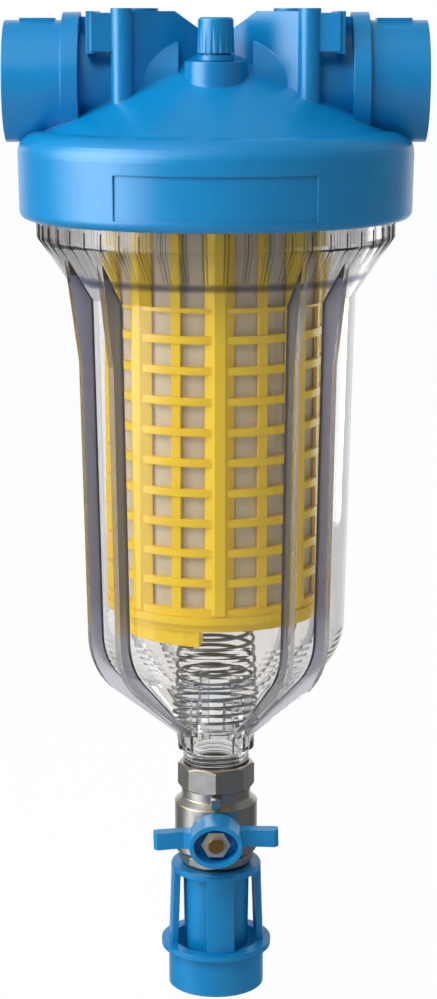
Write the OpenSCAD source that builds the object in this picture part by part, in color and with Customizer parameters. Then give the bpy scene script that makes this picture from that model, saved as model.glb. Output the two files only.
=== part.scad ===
// Self cleaning water filter: blue head, clear bowl, caged screen, drain valve and air gap tundish.
// Millimetres, +Z up. The origin is on the bowl's axis, in the plane of the bracket bosses.

/* [Head] */
// Outer radius of the skirt ring
ring_r = 98; // [94:0.5:108]
// Height of the skirt ring
ring_h = 43; // [40:0.5:52]
// Wall of the skirt ring outside the bowl's thread
ring_wall = 12.6; // [10:0.2:15]
// Depth of the ring's top below the bracket bosses
ring_drop = 58.5; // [57:0.5:66]
// Radius of the rounded shoulder of the ring
ring_shoulder = 11; // [4:0.5:11]
// Upright wall of the cone roof
roof_wall = 8; // [6:0.5:9]
// Depth of the roof's top below the bracket bosses
roof_drop = 19; // [17:0.5:21]
// Radius of the flat top of the roof
roof_flat_r = 6; // [4:0.5:8]
// Radius of the roof's foot on the ring
roof_foot_r = 85; // [82:0.5:86]
// Distance between the two port faces
port_span = 206.5; // [200:0.5:240]
// Outer radius of a port barrel
port_r = 29.6; // [28.5:0.1:32]
// Depth of the port axis below the bracket bosses
port_drop = 35.2; // [34:0.2:37]
// Major diameter of the port thread
port_thread_d = 47.8; // [44:0.1:50]
// Depth of the port thread
port_depth = 26; // [20:0.5:27]
// Radius of the water passage behind the port thread
passage_r = 19; // [15:0.5:20]
// Radius of the disc collar behind a port barrel
flange_r = 33.5; // [32.5:0.1:35]
// Thickness of the disc collar
flange_t = 8.4; // [6:0.2:9]
// Spacing of the bracket bosses along X
bracket_x = 90; // [86:1:96]
// Spacing of the bracket bosses along Y
bracket_y = 56; // [52:1:60]
// Radius of a bracket boss
bracket_boss_r = 5.4; // [4.5:0.1:6.5]
// Radius of the pilot hole in a bracket boss
bracket_hole_r = 2.1; // [1.5:0.1:2.6]
// Distance of a gauge boss from the axis
gauge_x = 37.5; // [35:0.5:41]
// Radius of a gauge boss
gauge_boss_r = 10.3; // [9.6:0.1:12]

/* [Vent] */
// Distance of the vent from the bowl's axis
vent_out = 27.5; // [25:0.5:28]
// Radius of the vent boss
vent_boss_r = 15; // [13:0.5:17]
// Depth of the vent boss top below the bracket bosses
vent_drop = 25; // [24:0.5:28]
// Radius of the vent knob
vent_knob_r = 9; // [8:0.1:10]
// Height of the vent knob
vent_knob_h = 17; // [12:0.5:18]
// Flutes round the vent knob
vent_flutes = 18; // [12:1:24]
// Radius of the vent screw's shank
vent_shank_r = 3.9; // [3:0.1:4.4]

/* [Bowl] */
// Wall of the bowl
bowl_wall = 4.6; // [3.5:0.1:5.5]
// Radius of the collar below the head
collar_r = 88.5; // [86.5:0.5:92]
// Height of the collar's straight band
collar_h = 9; // [6:0.5:12]
// Height of the cone below the collar
cone_h = 28; // [24:1:34]
// Outer radius of the shell below the cone
shell_top_r = 70; // [69:0.5:74]
// Outer radius of the shell above the bottom dome
shell_bot_r = 66.2; // [65.5:0.2:68.5]
// Length of the shell from cone to bottom dome
shell_len = 168; // [164:1:190]
// Radius of the bend from shell to bottom cone
bottom_bend = 34; // [28:1:38]
// Radius of the drain neck
neck_r = 20; // [18.5:0.5:24]
// Height of the drain neck
neck_h = 10; // [7:0.5:14]
// Radius of the drain hole
drain_r = 12.5; // [9:0.5:13.5]
// Fin pairs round the shell
fin_pairs = 4; // [3:1:5]
// Half the angle between the fins of a pair
fin_half = 9.2; // [8:0.1:14]
// Turn of the first fin pair from the front
fin_turn = -50.5; // [-60:0.5:-40]
// Thickness of a fin
fin_t = 3.6; // [2.4:0.2:5]
// Height of a fin over the shell
fin_h = 7; // [3:0.2:9]
// Grip ribs round the collar
grip_count = 52; // [36:2:60]
// Width of a grip rib
grip_w = 1.8; // [1.2:0.1:2.4]

/* [Cartridge] */
// Outer radius of the cage
cage_r = 56; // [52:0.5:57]
// Depth of the cage wall
cage_t = 4.4; // [3:0.2:6]
// Rings of the cage
cage_rings = 11; // [6:1:13]
// Pitch of the cage rings
cage_pitch = 15; // [12:0.5:15.5]
// Height of a cage ring
cage_ring_h = 3.8; // [2.5:0.1:5]
// Deep webs of the cage, with a slim bar between each two
cage_webs = 8; // [6:1:10]
// Width of a web at its outer edge
web_w = 5; // [4:0.2:6]
// Width of a web at its root
web_root_w = 14.4; // [10:0.2:16]
// Width of a slim bar
cage_bar_w = 4.6; // [3:0.2:6]
// Turn of the first web from the front
cage_turn = 2; // [-20:1:20]
// Thickness of the mesh sleeve
screen_t = 0.8; // [0.6:0.1:1.5]
// Height of the helical ramp at its deepest
ramp_h = 7.5; // [5:0.5:10]

/* [Spring] */
// Wire diameter of the spring
wire_d = 1.9; // [1.4:0.1:2.6]
// Mean radius of the lowest coil
spring_bot_r = 22; // [21.5:0.1:23]
// Mean radius of the highest coil
spring_top_r = 18.5; // [17.5:0.1:20.5]
// Turns of the spring
spring_turns = 11; // [7:1:14]

/* [Drain valve] */
// Radius of the drain thread
drain_thread_r = 16.6; // [15.5:0.1:17]
// Bare thread between bowl neck and valve
bare_thread = 8; // [4:0.5:12]
// Length of the thread inside the valve
thread_in = 11; // [8:0.5:12]
// Corner radius of the eight-sided ends
valve_end_r = 20; // [19.5:0.1:22]
// Length of the upper eight-sided end
valve_top_h = 13; // [13:0.5:15]
// Radius of the ball chamber outside
chamber_r = 21.6; // [21.4:0.1:24]
// Length of the valve
valve_len = 54; // [54:0.5:62]
// Radius of the ball
ball_r = 14.6; // [13.5:0.1:14.8]
// Radius of the ball's bore
ball_bore_r = 9.5; // [7:0.1:10]
// Radius of the valve stem
stem_r = 4.4; // [3.8:0.1:4.8]
// Reach of the stem from the valve axis
stem_reach = 44; // [42.5:0.5:45]
// Span of the handle's wings
wing_span = 64; // [56:1:76]
// Radius of the handle hub
hub_r = 13.6; // [12.5:0.1:15]
// Half the height of the handle hub
hub_half_h = 11.4; // [10.6:0.1:13]
// Depth of the handle hub
hub_depth = 19; // [18:0.5:19.5]
// Tilt of the handle in the closed position
handle_tilt = 1.7; // [0:0.1:4]

/* [Tundish] */
// Radius of the tundish top disc
disc_r = 23.6; // [22:0.1:25]
// Height of the open legs
leg_h = 39; // [30:1:50]
// Width of a leg
leg_w = 14.5; // [10:0.5:18]
// Turn of the legs from the front
leg_turn = 6; // [0:1:45]
// Outer radius of the nozzle
nozzle_r = 17.4; // [16.5:0.1:18.5]
// Outer radius of the spigot for the waste pipe
spigot_r = 25; // [24:0.1:27]
// Length of the spigot below the flange
spigot_len = 20.7; // [15:0.5:30]
// Wall of the spigot
spigot_wall = 2.4; // [1.8:0.1:3]
// Radius of the tundish flange
tundish_flange_r = 28.8; // [28:0.1:32]

/* [Fits] */
// Clearance of threads and loose fits
thread_gap = 0.4; // [0.3:0.05:0.5]
// Clearance between parts that move past each other
move_gap = 0.3; // [0.2:0.05:0.4]
// Running clearance of the stem
run_gap = 0.05; // [0.02:0.01:0.1]

/* [Hidden] */
$fn = 96;
eps = 0.01;

// Colours
blue = "#1173b8";
pale_blue = "#2f86cc";
clear = [0.86, 0.88, 0.92, 0.35];
yellow = "#ffd21a";
mesh_beige = "#c8b996";
steel = "#5d605f";
nickel = "#a9a7a2";
brass = "#c79a3c";
rubber = "#1c1c1c";
white = "#f0f0ec";

// Head levels and radii
ring_top = -ring_drop;
ring_bot = ring_top - ring_h;
ring_bore = ring_r - ring_wall;
ring_taper = 0.5;
ring_lip = 4;
roof_top = -roof_drop;
roof_slope = (ring_drop - roof_drop) / (roof_foot_r - roof_flat_r);
room_r = ring_bore - 7.4;
seat_z = ring_top - ring_shoulder;
port_z = -port_drop;
port_x = port_span / 2;
thread_end_x = port_x - port_depth;
flange_x = thread_end_x - 2.6;
thread_bore_r = port_thread_d / 2;
duct_r = passage_r + 5;
duct_in_x = 18;
duct_end = 5;
duct_lap = 2;
duct_step = 0.5;
rib_t = 4;
rib_top = -1.4;
rib_step = 0.8;
rib_run = 25;
rib_mid = 2.5;
box_deep = 19;
box_x = 60;
box_y = 31;
chimney_r = 30;
chimney_wall = 5;
panel_depth = 0.6;
panel_half = 29;
panel_top = 17;
panel_bot = 5;

// Gauge plugs
plug_head_t = 1.6;
plug_head_r = gauge_boss_r - 1;
plug_shank_r = 6.4;
plug_len = 11;
plug_seal_w = 1.6;
gauge_top = -plug_head_t;

// Vent
vent_top = -vent_drop;
vent_flange_t = 2.8;
vent_seal_r = 1.1;
vent_hole_r = vent_shank_r + thread_gap;
vent_shank_len = 6.5;
vent_drill_r = 1.4;
vent_drill_in = 0.7;
vent_seal_mid = vent_hole_r + vent_seal_r + 0.5;
vent_foot = -roof_drop - roof_slope * (vent_out + vent_boss_r) - 1;

// Bowl levels and radii
collar_gap = 0.4;
collar_top = ring_bot - collar_gap;
spigot_top = seat_z - 0.6;
spigot_rad = ring_bore - thread_gap;
spigot_wall_t = 7;
collar_bot = collar_top - collar_h;
cone_bot = collar_bot - cone_h;
shell_bot = cone_bot - shell_len;
bend_drop = bottom_bend * sin(45);
bend_in = bottom_bend * (1 - cos(45));
bend_r = shell_bot_r - bend_in;
bend_bot = shell_bot - bend_drop;
neck_top = bend_bot - (bend_r - neck_r);
neck_bot = neck_top - neck_h;
floor_z = neck_top + bowl_wall * 1.1;
floor_r = neck_r + 5;
thread_tip = neck_bot - bare_thread - thread_in;
oring_r = 2.4;
oring_mid = spigot_rad - spigot_wall_t / 2;
post_r = 16.6;
post_h = 19;
post_w = 4.6;
posts = 6;
post_turn = 22;
fin_root = 1.5;
gusset_end = 30;

// Cartridge levels and radii
cap_top = seat_z - 10;
cap_t = 4;
cap_collar_h = 12;
bars_top = cap_top - cap_t;
plain_h = 57.5;
ring_first = bars_top - plain_h;
ring_last = ring_first - (cage_rings - 1) * cage_pitch;
cage_bot = ring_last - cage_ring_h / 2;
bars_bot = cage_bot + 0.6;
bars_h = bars_top - 1 - bars_bot;
bar_deep = cage_t - 0.5;
ring_step = 0.9;
slim_deep = 2.2;
screen_out = cage_r - cage_t - 0.2;
base_t = 8;
base_floor = 4;
base_bot = cage_bot - base_t;
base_lip = 2.6;
ramp_in = 40;
ramp_out = cage_r - 4;
ramp_steps = 30;
ramp_turn = 260;
seal_sec = 1.9;
collar_in = chimney_r + move_gap;
collar_out = collar_in + 8;
chimney_end = cap_top - cap_collar_h + 0.5;

// Spring levels
spring_top = base_bot - move_gap;
spring_low = floor_z + move_gap;
wire_sides = 6;
coil_steps = 20;

// Valve levels and radii
valve_top = neck_bot - bare_thread;
valve_bot = valve_top - valve_len;
valve_neck_r = 18;
valve_neck_h = 5;
chamber_top = valve_top - valve_top_h - valve_neck_h;
stem_drop = 31.3;
stem_z = valve_top - stem_drop;
chamber_bot = stem_z - 16.5;
valve_bore_r = ball_bore_r + 0.3;
ball_room = ball_r + 1.2;
seat_t = 5;
seat_far = 13.4;
end_thread_r = ball_room + 2.6;
end_sleeve = 7.5;
bonnet_r = 9;
bonnet_y = 26;
stem_slot_w = 4;
stem_foot_y = ball_r - 3;
stem_neck_y = ball_room + 1.4;
foot_r = stem_r + 2;
washer_t = 1;
stem_seal_r = 0.9;
stem_seal_y = [19.5, 22.5];
hub_back_y = bonnet_y + move_gap;
hub_front_y = hub_back_y + hub_depth;
hub_floor_y = hub_back_y + 10;
hub_rim = 2.4;
nut_af = 13;
nut_h = 5.5;
tip_r = 3.9;
wing_h = 8.8;
wing_t = 7;
stop_w = 5;
stop_y = 25;
stop_low = 13;
stop_h = 5;
stop_deep = 10;

// Tundish levels
gasket_t = 1.2;
disc_top = valve_bot - gasket_t;
disc_t = 3.4;
flange_top = disc_top - disc_t - leg_h;
tundish_flange_t = 3.2;
spigot_bot = flange_top - tundish_flange_t - spigot_len;
leg_t = 3;
nozzle_bore_r = nozzle_r - 3.2;
nozzle_end = flange_top - 3;
nozzle_taper = 0.7;
nipple_h = 5.5;

// Points of an arc round a centre
function arc(c, r, a, b, n = 10) =
  [for (i = [0:n]) c + r * [cos(a + (b - a) * i / n), sin(a + (b - a) * i / n)]];

// Radius of the shell's outside at a level
function shell_r(z) = shell_bot_r + (shell_top_r - shell_bot_r) * (z - shell_bot) / shell_len;

// Solid of revolution between two radii and two levels
module ring(r_in, r_out, z_low, z_high) {
  rotate_extrude() translate([r_in, z_low]) square([r_out - r_in, z_high - z_low]);
}

// Round bar along X
module bar_x(r, x0, x1, z) {
  translate([x0, 0, z]) rotate([0, 90, 0]) cylinder(r = r, h = x1 - x0);
}

// Round bar along -Y at the stem's level
module bar_y(r, y0, y1) {
  translate([0, -y0, stem_z]) rotate([90, 0, 0]) cylinder(r = r, h = y1 - y0);
}

// Upright wall between two plan points
module wall(p, q, t, z_low, z_high) {
  d = q - p;
  translate([p[0], p[1], z_low]) rotate(atan2(d[1], d[0])) translate([0, -t / 2, 0])
    cube([norm(d), t, z_high - z_low]);
}

// O-ring lying flat
module o_ring(mid, sec, z) {
  translate([0, 0, z]) rotate_extrude() translate([mid, 0]) circle(sec, $fn = 32);
}

module mirror_x() {
  children();
  mirror([1, 0, 0]) children();
}

module mirror_y() {
  children();
  mirror([0, 1, 0]) children();
}

// Level of the roof's outside at a radius
function roof_z(r) = roof_top - max(0, r - roof_flat_r) * roof_slope;

// Outer skin of the head, turned round the axis
module head_skin() {
  rotate_extrude() polygon(concat(
    [[0, seat_z - 1], [0, roof_top], [roof_flat_r, roof_top], [roof_foot_r, ring_top]],
    arc([ring_r - ring_shoulder, ring_top - ring_shoulder], ring_shoulder, 90, 0, 8),
    arc([ring_r - ring_taper - ring_lip, ring_bot + ring_lip], ring_lip, 0, -90, 6),
    [[ring_bore, ring_bot], [ring_bore, seat_z - 1]]
  ));
}

// Room under the roof, with the bore for the bowl
module head_room() {
  rotate_extrude() polygon([
    [0, ring_bot - 1], [0, roof_top - roof_wall], [roof_flat_r, roof_top - roof_wall],
    [room_r, roof_z(room_r) - roof_wall], [room_r, seat_z], [ring_bore, seat_z], [ring_bore, ring_bot - 1]
  ]);
}

// Port barrel with its collar and the duct behind it, on the +X side
module port_solid() {
  bar_x(port_r, flange_x, port_x, port_z);
  bar_x(flange_r, flange_x - flange_t, flange_x, port_z);
  bar_x(duct_r, duct_in_x, flange_x, port_z);
  translate([flange_x + 4, -8, port_z + port_r - 2]) cube([port_depth - 9, 16, 3]);
}

// Ribs and bosses on one quarter of the head
module head_ribs() {
  boss = [bracket_x / 2, bracket_y / 2];
  reach = norm(boss);
  foot = roof_z(reach + bracket_boss_r) - 2;
  rotate(atan2(boss[1], boss[0])) translate([0, rib_t / 2, 0]) rotate([90, 0, 0])
    linear_extrude(rib_t)
      polygon([
        [0, roof_top - 3], [0, roof_top + rib_mid], [rib_run, rib_top], [reach, rib_top], [reach, foot],
        [roof_flat_r, roof_top - 3]
      ]);
  translate([boss[0], boss[1], foot]) cylinder(r = bracket_boss_r, h = -foot);
  wall(boss, [box_x, box_y], rib_t, rib_top - box_deep, rib_top - rib_step);
  wall([box_x, 0], [box_x, box_y + 1], rib_t, rib_top - box_deep - 1, rib_top);
}

module head_solid() {
  difference() {
    union() {
      head_skin();
      mirror_x() port_solid();
      mirror_x() mirror_y() head_ribs();
      translate([0, -vent_out, vent_foot]) cylinder(r = vent_boss_r, h = vent_top - vent_foot);
      mirror_x() translate([gauge_x, 0, port_z]) cylinder(r = gauge_boss_r, h = gauge_top - port_z);
      mirror_x() translate([gauge_x, -rib_t / 2, port_z])
        cube([flange_x - flange_t / 2 - gauge_x, rib_t, -port_z - 4]);
    }
    head_room();
  }
  ring(chimney_r - chimney_wall, chimney_r, chimney_end, roof_z(chimney_r) - roof_wall / 2);
  bar_x(duct_r - duct_step, duct_in_x + duct_step, flange_x + duct_lap, port_z);
}

module head() color(blue) difference() {
  head_solid();
  mirror_x() bar_x(thread_bore_r, thread_end_x, port_x + 1, port_z);
  mirror_x() bar_x(passage_r, duct_in_x + duct_end, thread_end_x + 1, port_z);
  intersection() {
    bar_x(passage_r, chimney_wall, chimney_r + duct_end, port_z);
    head_room();
  }
  mirror_x() translate([gauge_x, 0, port_z])
    cylinder(r = plug_shank_r + thread_gap, h = -port_z + 1);
  translate([0, -vent_out, vent_top]) {
    translate([0, 0, -vent_shank_len - move_gap]) cylinder(r = vent_hole_r, h = vent_shank_len + 9);
    translate([0, 0, -2 * vent_seal_r]) cylinder(r = vent_seal_mid + vent_seal_r + 0.2, h = 9);
    translate([0, -vent_hole_r - vent_drill_in, -vent_shank_len - 14])
      cylinder(r = vent_drill_r, h = 16, $fn = 24);
  }
  mirror_x() mirror_y() translate([bracket_x / 2, bracket_y / 2, -16])
    cylinder(r = bracket_hole_r, h = 17, $fn = 32);
  rotate(-90 - panel_half) rotate_extrude(angle = 2 * panel_half)
    translate([ring_r - ring_taper - panel_depth, ring_bot + panel_bot])
      square([3, ring_h - panel_top - panel_bot]);
}

// Plug with a hexagon socket in a gauge boss
module gauge_plug(side) {
  translate([side * gauge_x, 0, gauge_top]) difference() {
    union() {
      cylinder(r = plug_head_r, h = plug_head_t);
      translate([0, 0, -plug_len]) cylinder(r = plug_shank_r, h = plug_len + eps);
    }
    ring(plug_shank_r - plug_seal_w, plug_shank_r + 1, -plug_seal_w - 1, -1);
    translate([0, 0, plug_head_t - 5]) cylinder(r = 3.4, h = 6, $fn = 6);
  }
}

module inlet_gauge_plug() color(blue) gauge_plug(-1);
module outlet_gauge_plug() color(blue) gauge_plug(1);

module gauge_plug_seals() color(rubber) mirror_x()
  translate([gauge_x, 0, gauge_top - 1 - plug_seal_w / 2])
    o_ring(plug_shank_r - plug_seal_w / 2 + 0.1, plug_seal_w / 2 - 0.1, 0);

module vent_screw() color(blue) translate([0, -vent_out, 0]) difference() {
  union() {
    translate([0, 0, vent_top + 0.2]) cylinder(r = vent_knob_r - 0.2, h = vent_flange_t);
    translate([0, 0, vent_top + vent_flange_t]) cylinder(r = vent_knob_r - 1.6, h = 1.6);
    rotate_extrude() translate([0, vent_top + vent_flange_t + 1]) polygon(concat(
      [[0, 0], [vent_knob_r, 0]],
      arc([vent_knob_r - 2, vent_knob_h - 1.5], 1.5, 0, 90, 5),
      [[0, vent_knob_h]]
    ));
    translate([0, 0, vent_top - vent_shank_len]) cylinder(r = vent_shank_r, h = vent_shank_len + 1);
  }
  for (i = [0:vent_flutes - 1]) rotate(i * 360 / vent_flutes)
    translate([vent_knob_r + 0.4, 0, vent_top + vent_flange_t])
      cylinder(r = 0.9, h = vent_knob_h - 4, $fn = 24);
}

module vent_seal() color(rubber) translate([0, -vent_out, 0])
  o_ring(vent_seal_mid, vent_seal_r - 0.1, vent_top - vent_seal_r);

// Outside of the bowl from rim to neck, as points
function bowl_outside() = concat(
  [[spigot_rad, spigot_top], [spigot_rad, collar_top], [collar_r, collar_top], [collar_r, collar_bot],
   [shell_top_r, cone_bot], [shell_bot_r, shell_bot]],
  arc([shell_bot_r - bottom_bend, shell_bot], bottom_bend, 0, -45, 8),
  [[neck_r, neck_top], [neck_r, neck_bot + 1], [neck_r - 1, neck_bot],
   [drain_thread_r, neck_bot], [drain_thread_r, thread_tip]]
);

// Inside of the bowl from drain hole to rim, as points
function bowl_inside() = concat(
  [[drain_r, thread_tip], [drain_r, floor_z], [floor_r, floor_z]],
  arc([shell_bot_r - bottom_bend, shell_bot], bottom_bend - bowl_wall, -45, 0, 8),
  [[shell_top_r - bowl_wall, cone_bot], [spigot_rad - spigot_wall_t, collar_bot + 1],
   [spigot_rad - spigot_wall_t, spigot_top]]
);

// One fin in its own plane: gusset under the collar, then along shell and bottom
module fin() {
  gusset_r = collar_r - 5;
  gusset_z = collar_bot - cone_h * 0.3;
  end_z = cone_bot - gusset_end;
  translate([0, fin_t / 2, 0]) rotate([90, 0, 0]) linear_extrude(fin_t) polygon(concat(
    [[shell_top_r - fin_root, cone_bot], [gusset_r - 5, gusset_z], [gusset_r, gusset_z],
     [shell_r(end_z) + fin_h, end_z], [shell_bot_r + fin_h, shell_bot]],
    arc([shell_bot_r - bottom_bend, shell_bot], bottom_bend + fin_h, 0, -45, 8),
    [[neck_r + 2.4, neck_top], [neck_r + 1.2, neck_bot + 1.4], [neck_r - fin_root, neck_bot + 1.4],
     [neck_r - fin_root, neck_top]],
    arc([shell_bot_r - bottom_bend, shell_bot], bottom_bend - fin_root, -45, 0, 8)
  ));
}

// Grip ribs that follow the collar's band and cone
module grip_ribs() {
  for (i = [0:grip_count - 1]) rotate(-90 + (i + 0.5) * 360 / grip_count)
    translate([0, grip_w / 2, 0]) rotate([90, 0, 0]) linear_extrude(grip_w)
      polygon([
        [collar_r - 2, collar_top - 2], [collar_r + 0.7, collar_top - 2], [collar_r + 0.7, collar_bot],
        [collar_r - 6, collar_bot - 9], [collar_r - 9, collar_bot - 9], [collar_r - 2, collar_bot]
      ]);
}

module bowl() color(clear) difference() {
  union() {
    rotate_extrude() polygon(concat(bowl_outside(), bowl_inside()));
    for (k = [0:fin_pairs - 1]) for (s = [-1, 1])
      rotate(-90 + fin_turn + k * 360 / fin_pairs + s * fin_half) fin();
    grip_ribs();
    for (i = [0:posts - 1]) rotate(-90 + post_turn + i * 360 / posts)
      translate([post_r - 2, -post_w / 2, floor_z - 1]) cube([4, post_w, post_h + 1]);
  }
  ring(oring_mid - oring_r, oring_mid + oring_r, spigot_top - 2 * oring_r + 0.3, spigot_top + 1);
}

module bowl_seal() color(rubber)
  o_ring(oring_mid, oring_r - 0.3, spigot_top - oring_r + 0.6);

// Deep web of the cage, narrower at its outer edge
module cage_web() {
  translate([0, 0, bars_bot]) linear_extrude(bars_h) polygon([
    [cage_r - bar_deep, -web_root_w / 2], [cage_r, -web_w / 2], [cage_r, web_w / 2],
    [cage_r - bar_deep, web_root_w / 2]
  ]);
}

module cartridge_cage() color(yellow) {
  for (i = [0:cage_rings - 1])
    ring(cage_r - cage_t, cage_r - ring_step, ring_first - i * cage_pitch - cage_ring_h / 2,
      ring_first - i * cage_pitch + cage_ring_h / 2);
  ring(cage_r - cage_t, cage_r - ring_step, bars_top - 6, bars_top);
  for (i = [0:cage_webs - 1]) rotate(-90 + cage_turn + i * 360 / cage_webs) {
    cage_web();
    rotate(180 / cage_webs) translate([cage_r - bar_deep, -cage_bar_w / 2, bars_bot])
      cube([slim_deep, cage_bar_w, bars_h]);
  }
}

module cartridge_top_cap() color(yellow) difference() {
  union() {
    ring(collar_in, cage_r, bars_top, cap_top);
    ring(collar_in, collar_out, cap_top - cap_collar_h, cap_top);
  }
  ring(collar_in - 1, collar_in + 2 * seal_sec - 0.2, cap_top - 7 - seal_sec, cap_top - 7 + seal_sec);
}

module cartridge_seal() color(rubber)
  o_ring(collar_in + seal_sec - 0.2, seal_sec - 0.15, cap_top - 7);

// Ramp that hangs below the base and deepens along its turn
module ramp() {
  function station(i) = let (a = i * ramp_turn / ramp_steps, z = base_bot - 0.8 - ramp_h * i / ramp_steps)
    [for (p = [[ramp_in, base_bot + 1], [ramp_out, base_bot + 1], [ramp_out, z], [ramp_in, z]])
      [p[0] * cos(a), p[0] * sin(a), p[1]]];
  sides = [for (i = [0:ramp_steps - 1]) for (k = [0:3])
    [4 * i + 4 + k, 4 * i + 4 + (k + 1) % 4, 4 * i + (k + 1) % 4, 4 * i + k]];
  last = 4 * ramp_steps;
  polyhedron(
    points = [for (i = [0:ramp_steps]) for (p = station(i)) p],
    faces = concat([[0, 1, 2, 3]], sides, [[last + 3, last + 2, last + 1, last]])
  );
}

module cartridge_bottom_cap() color(yellow) {
  difference() {
    union() {
      ring(0, cage_r + 0.4, cage_bot - 4, cage_bot);
      ring(0, cage_r - base_lip, base_bot, cage_bot);
    }
    ring(0, spring_top_r - 4, base_bot - 1, cage_bot - base_floor);
  }
  rotate(-90 - 9 - ramp_turn) ramp();
  ring(spring_top_r - 4, spring_top_r - wire_d / 2 - move_gap, base_bot - 5, base_bot + eps);
}

module cartridge_screen() color(mesh_beige)
  ring(screen_out - screen_t, screen_out, cage_bot, bars_top);

// Conical coil swept round the axis
module spring() {
  n = spring_turns * coil_steps;
  r_wire = wire_d / 2;
  rise = spring_top - spring_low - wire_d;
  function coil_r(t) = spring_bot_r + (spring_top_r - spring_bot_r) * t;
  function coil_z(t) = spring_low + r_wire + rise * t;
  pts = [for (i = [0:n]) let (t = i / n, a = 360 * spring_turns * t)
    for (k = [0:wire_sides - 1]) let (b = 360 * k / wire_sides, r = coil_r(t) + r_wire * cos(b))
      [r * cos(a), r * sin(a), coil_z(t) + r_wire * sin(b)]];
  sides = [for (i = [0:n - 1]) for (k = [0:wire_sides - 1])
    [i * wire_sides + (k + 1) % wire_sides, (i + 1) * wire_sides + (k + 1) % wire_sides,
     (i + 1) * wire_sides + k, i * wire_sides + k]];
  ends = [[for (k = [wire_sides - 1:-1:0]) k], [for (k = [0:wire_sides - 1]) n * wire_sides + k]];
  color(steel) polyhedron(points = pts, faces = concat(sides, ends));
}

// Eight-sided end with chamfered corners
module octagon_end(z_low, z_high, r) {
  intersection() {
    translate([0, 0, z_low]) cylinder(r = r, h = z_high - z_low, $fn = 8);
    rotate_extrude() polygon([
      [0, z_low], [r - 1.6, z_low], [r, z_low + 1.2], [r, z_high - 1.2], [r - 1.6, z_high], [0, z_high]
    ]);
  }
}

module valve_body() color(nickel) difference() {
  union() {
    octagon_end(valve_top - valve_top_h, valve_top, valve_end_r);
    ring(0, valve_neck_r, chamber_top - 1, valve_top - valve_top_h + 0.5);
    rotate_extrude() polygon([
      [0, chamber_bot], [chamber_r - 1, chamber_bot], [chamber_r, chamber_bot + 1.5],
      [chamber_r, chamber_top - 3], [valve_neck_r, chamber_top], [0, chamber_top]
    ]);
    bar_y(bonnet_r, 0, bonnet_y);
    translate([-stop_w / 2, -stop_y, stem_z + stop_low]) cube([stop_w, stop_deep, stop_h]);
  }
  translate([0, 0, valve_top - thread_in - 1.5]) cylinder(r = drain_thread_r + thread_gap, h = thread_in + 3);
  translate([0, 0, stem_z]) cylinder(r = valve_bore_r, h = valve_len);
  ring(0, ball_room, chamber_bot - 1, stem_z + seat_far);
  ring(0, end_thread_r + thread_gap, chamber_bot - 1, stem_z - end_sleeve + thread_gap);
  bar_y(stem_r + run_gap, 0, bonnet_y + 1);
  bar_y(foot_r + move_gap, 0, stem_neck_y + washer_t + 0.1);
}

module valve_end() color(nickel) difference() {
  union() {
    octagon_end(valve_bot, chamber_bot - 0.2, valve_end_r - 0.5);
    ring(0, end_thread_r, chamber_bot - 1, stem_z - end_sleeve);
  }
  translate([0, 0, valve_bot - 1]) cylinder(r = valve_bore_r, h = valve_len);
  translate([0, 0, valve_bot - 1]) cylinder(r = nozzle_r - 1 + thread_gap, h = nipple_h + 1.5);
  ring(0, ball_room, stem_z - seat_far, stem_z);
}

module valve_ball() color("#d8d8d8") difference() {
  translate([0, 0, stem_z]) sphere(ball_r);
  bar_x(ball_bore_r, -ball_r - 1, ball_r + 1, stem_z);
  translate([-ball_r, -ball_r - 1, stem_z - stem_slot_w / 2]) cube([2 * ball_r, 4.2, stem_slot_w]);
}

// Ring seat above the ball; mirrored for the one below
module ball_seat() difference() {
  ring(valve_bore_r, ball_room - 0.1, seat_far - seat_t, seat_far - 0.05);
  sphere(ball_r + move_gap);
}

module upper_seat() color(white) translate([0, 0, stem_z]) ball_seat();
module lower_seat() color(white) translate([0, 0, stem_z]) mirror([0, 0, 1]) ball_seat();

module valve_stem() color(brass) difference() {
  union() {
    bar_y(stem_r, stem_neck_y - 1, hub_floor_y);
    bar_y(foot_r, ball_r + 0.2, stem_neck_y);
    translate([-foot_r + 2, -ball_r - 1, stem_z - stem_slot_w / 2 + 0.15])
      cube([2 * foot_r - 4, 1 + ball_r - stem_foot_y, stem_slot_w - 0.3]);
    bar_y(tip_r, hub_floor_y - 1, stem_reach);
  }
  for (y = stem_seal_y) translate([0, -y, stem_z]) rotate([90, 0, 0])
    ring(stem_r - 2 * stem_seal_r + 0.1, stem_r + 1, -stem_seal_r, stem_seal_r);
}

module stem_seals() color(rubber) for (y = stem_seal_y)
  translate([0, -y, stem_z]) rotate([90, 0, 0]) o_ring(stem_r - stem_seal_r + 0.1, stem_seal_r - 0.1, 0);

module thrust_washer() color(white)
  translate([0, -stem_neck_y - washer_t, stem_z]) rotate([-90, 0, 0]) difference() {
    cylinder(r = foot_r, h = washer_t);
    translate([0, 0, -1]) cylinder(r = stem_r + 0.1, h = washer_t + 2);
  }

// Wing of the handle on the +X side, in plan from above
module wing() {
  translate([0, -hub_back_y - wing_t, stem_z - wing_h / 2]) linear_extrude(wing_h) polygon([
    [hub_r - 3, -3], [hub_r + 3, 0], [wing_span / 2 - 2, -2], [wing_span / 2, 0],
    [wing_span / 2, 4.5], [wing_span / 2 - 2, 5.5], [hub_r, wing_t], [hub_r - 3, wing_t]
  ]);
}

// Oval block of the hub, made smaller all round by inset
module hub_block(inset, y0, y1) {
  translate([0, -y0, stem_z]) rotate([90, 0, 0]) linear_extrude(y1 - y0)
    polygon([for (a = [0:5:355]) [(hub_r - inset) * cos(a), (hub_half_h - inset) * sin(a)]]);
}

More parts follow.
